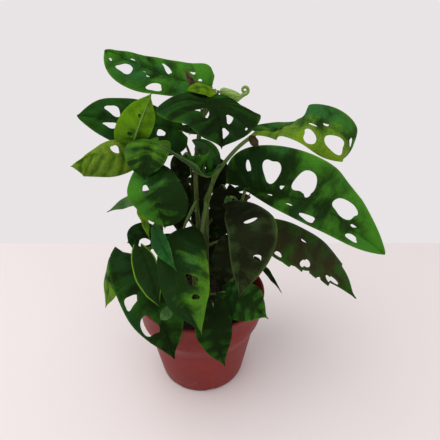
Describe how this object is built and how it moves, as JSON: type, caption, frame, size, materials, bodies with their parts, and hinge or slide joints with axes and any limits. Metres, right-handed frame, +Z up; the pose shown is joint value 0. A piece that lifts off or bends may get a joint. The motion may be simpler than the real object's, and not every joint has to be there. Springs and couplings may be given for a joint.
{
  "type": "potted monstera plant",
  "caption": "Bushy potted climbing plant with holed leaves on arching stalks, standing in a tapered plastic nursery pot filled with soil.",
  "frame": {"origin": "centre of the pot's underside, on the surface that it stands on", "axes": "+Z up; -Y is the side that the best leaves face; +X is to the right, where the largest leaf reaches out"},
  "size_m": [0.2272, 0.1756, 0.2941],
  "materials": {
    "leaf": "living green leaf with a soft waxy shine, lighter veins",
    "leaf_dark": "older dark green leaf, satin",
    "leaf_young": "young yellow-green leaf, thin and slightly see-through to light",
    "stem": "fleshy green stem and petioles, browner near the soil",
    "soil": "dark loose potting soil",
    "pot_plastic": "thin satin red-brown nursery-pot plastic"
  },
  "bodies": {
    "root": {"leaf_top_left": "leaf", "leaf_top_left_small": "leaf_young", "leaf_top_centre": "leaf_dark", "leaf_upper_right": "leaf", "leaf_right_big": "leaf", "leaf_right_hanging": "leaf_dark", "leaf_right_torn": "leaf_dark", "leaf_right_narrow": "leaf_dark", "leaf_left_dark": "leaf_dark", "leaf_left_upright": "leaf_young", "leaf_left_olive": "leaf_young", "leaf_left_green": "leaf", "leaf_centre_cupped": "leaf", "leaf_left_round": "leaf", "leaf_left_thin": "leaf", "leaf_left_strip": "leaf_young", "leaf_left_gloss": "leaf", "leaf_small_oval": "leaf_young", "leaf_low_left_back": "leaf_dark", "leaf_low_left_arched": "leaf", "leaf_low_left_big": "leaf_dark", "leaf_left_crescent": "leaf", "leaf_front_main": "leaf", "leaf_front_pale": "leaf_young", "leaf_low_centre": "leaf_dark", "leaf_low_right": "leaf", "leaf_inner_high": "leaf_dark", "leaf_inner_left": "leaf_dark", "leaf_inner_centre": "leaf_dark", "leaf_inner_low": "leaf_dark", "leaf_inner_front": "leaf_dark", "leaf_inner_up_left": "leaf_dark", "leaf_inner_up_right": "leaf_dark", "leaf_inner_mid": "leaf_dark", "leaf_inner_low_left": "leaf_dark", "leaf_back_top": "leaf_dark", "leaf_back_left_high": "leaf_dark", "leaf_back_right_high": "leaf_dark", "leaf_back_high": "leaf_dark", "leaf_back_right": "leaf_dark", "leaf_back_left": "leaf_dark", "leaf_back_low": "leaf_dark", "leaf_back_low_left": "leaf_dark", "leaf_back_low_right": "leaf_dark", "leaf_rolled": "leaf_young", "stem_middle": "stem", "stem_front": "stem", "stem_left": "stem", "stem_right": "stem", "stem_back": "stem", "stem_low": "stem", "soil": "soil", "pot": "pot_plastic"}
  },
  "joints": []
}
